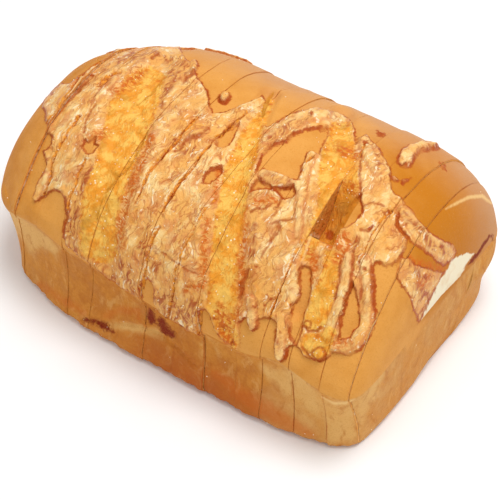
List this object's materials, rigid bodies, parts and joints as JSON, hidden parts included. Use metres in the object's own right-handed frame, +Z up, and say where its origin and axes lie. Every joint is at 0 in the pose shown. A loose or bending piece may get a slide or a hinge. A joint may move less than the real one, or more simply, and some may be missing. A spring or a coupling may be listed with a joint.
{
  "type": "sliced cheese bread loaf",
  "caption": "Pan-baked white bread loaf with slashed crust and melted cheese on top, cut into slices that still stand together.",
  "frame": {"origin": "middle of the loaf's box, on the surface that it stands on", "axes": "+X along the loaf's length, towards the end with the torn pale seam; +Y across it, towards its back; +Z up"},
  "size_m": [0.1994, 0.131, 0.0873],
  "materials": {
    "baked_bread": "matte baked crust"
  },
  "bodies": {
    "root": {"slice_01": "baked_bread", "slice_02": "baked_bread", "slice_03": "baked_bread", "slice_04": "baked_bread", "slice_05": "baked_bread", "slice_06": "baked_bread", "slice_07": "baked_bread", "slice_08": "baked_bread", "slice_09": "baked_bread", "slice_10": "baked_bread", "slice_11": "baked_bread", "slice_12": "baked_bread", "slice_13": "baked_bread", "slice_14": "baked_bread"}
  },
  "joints": []
}
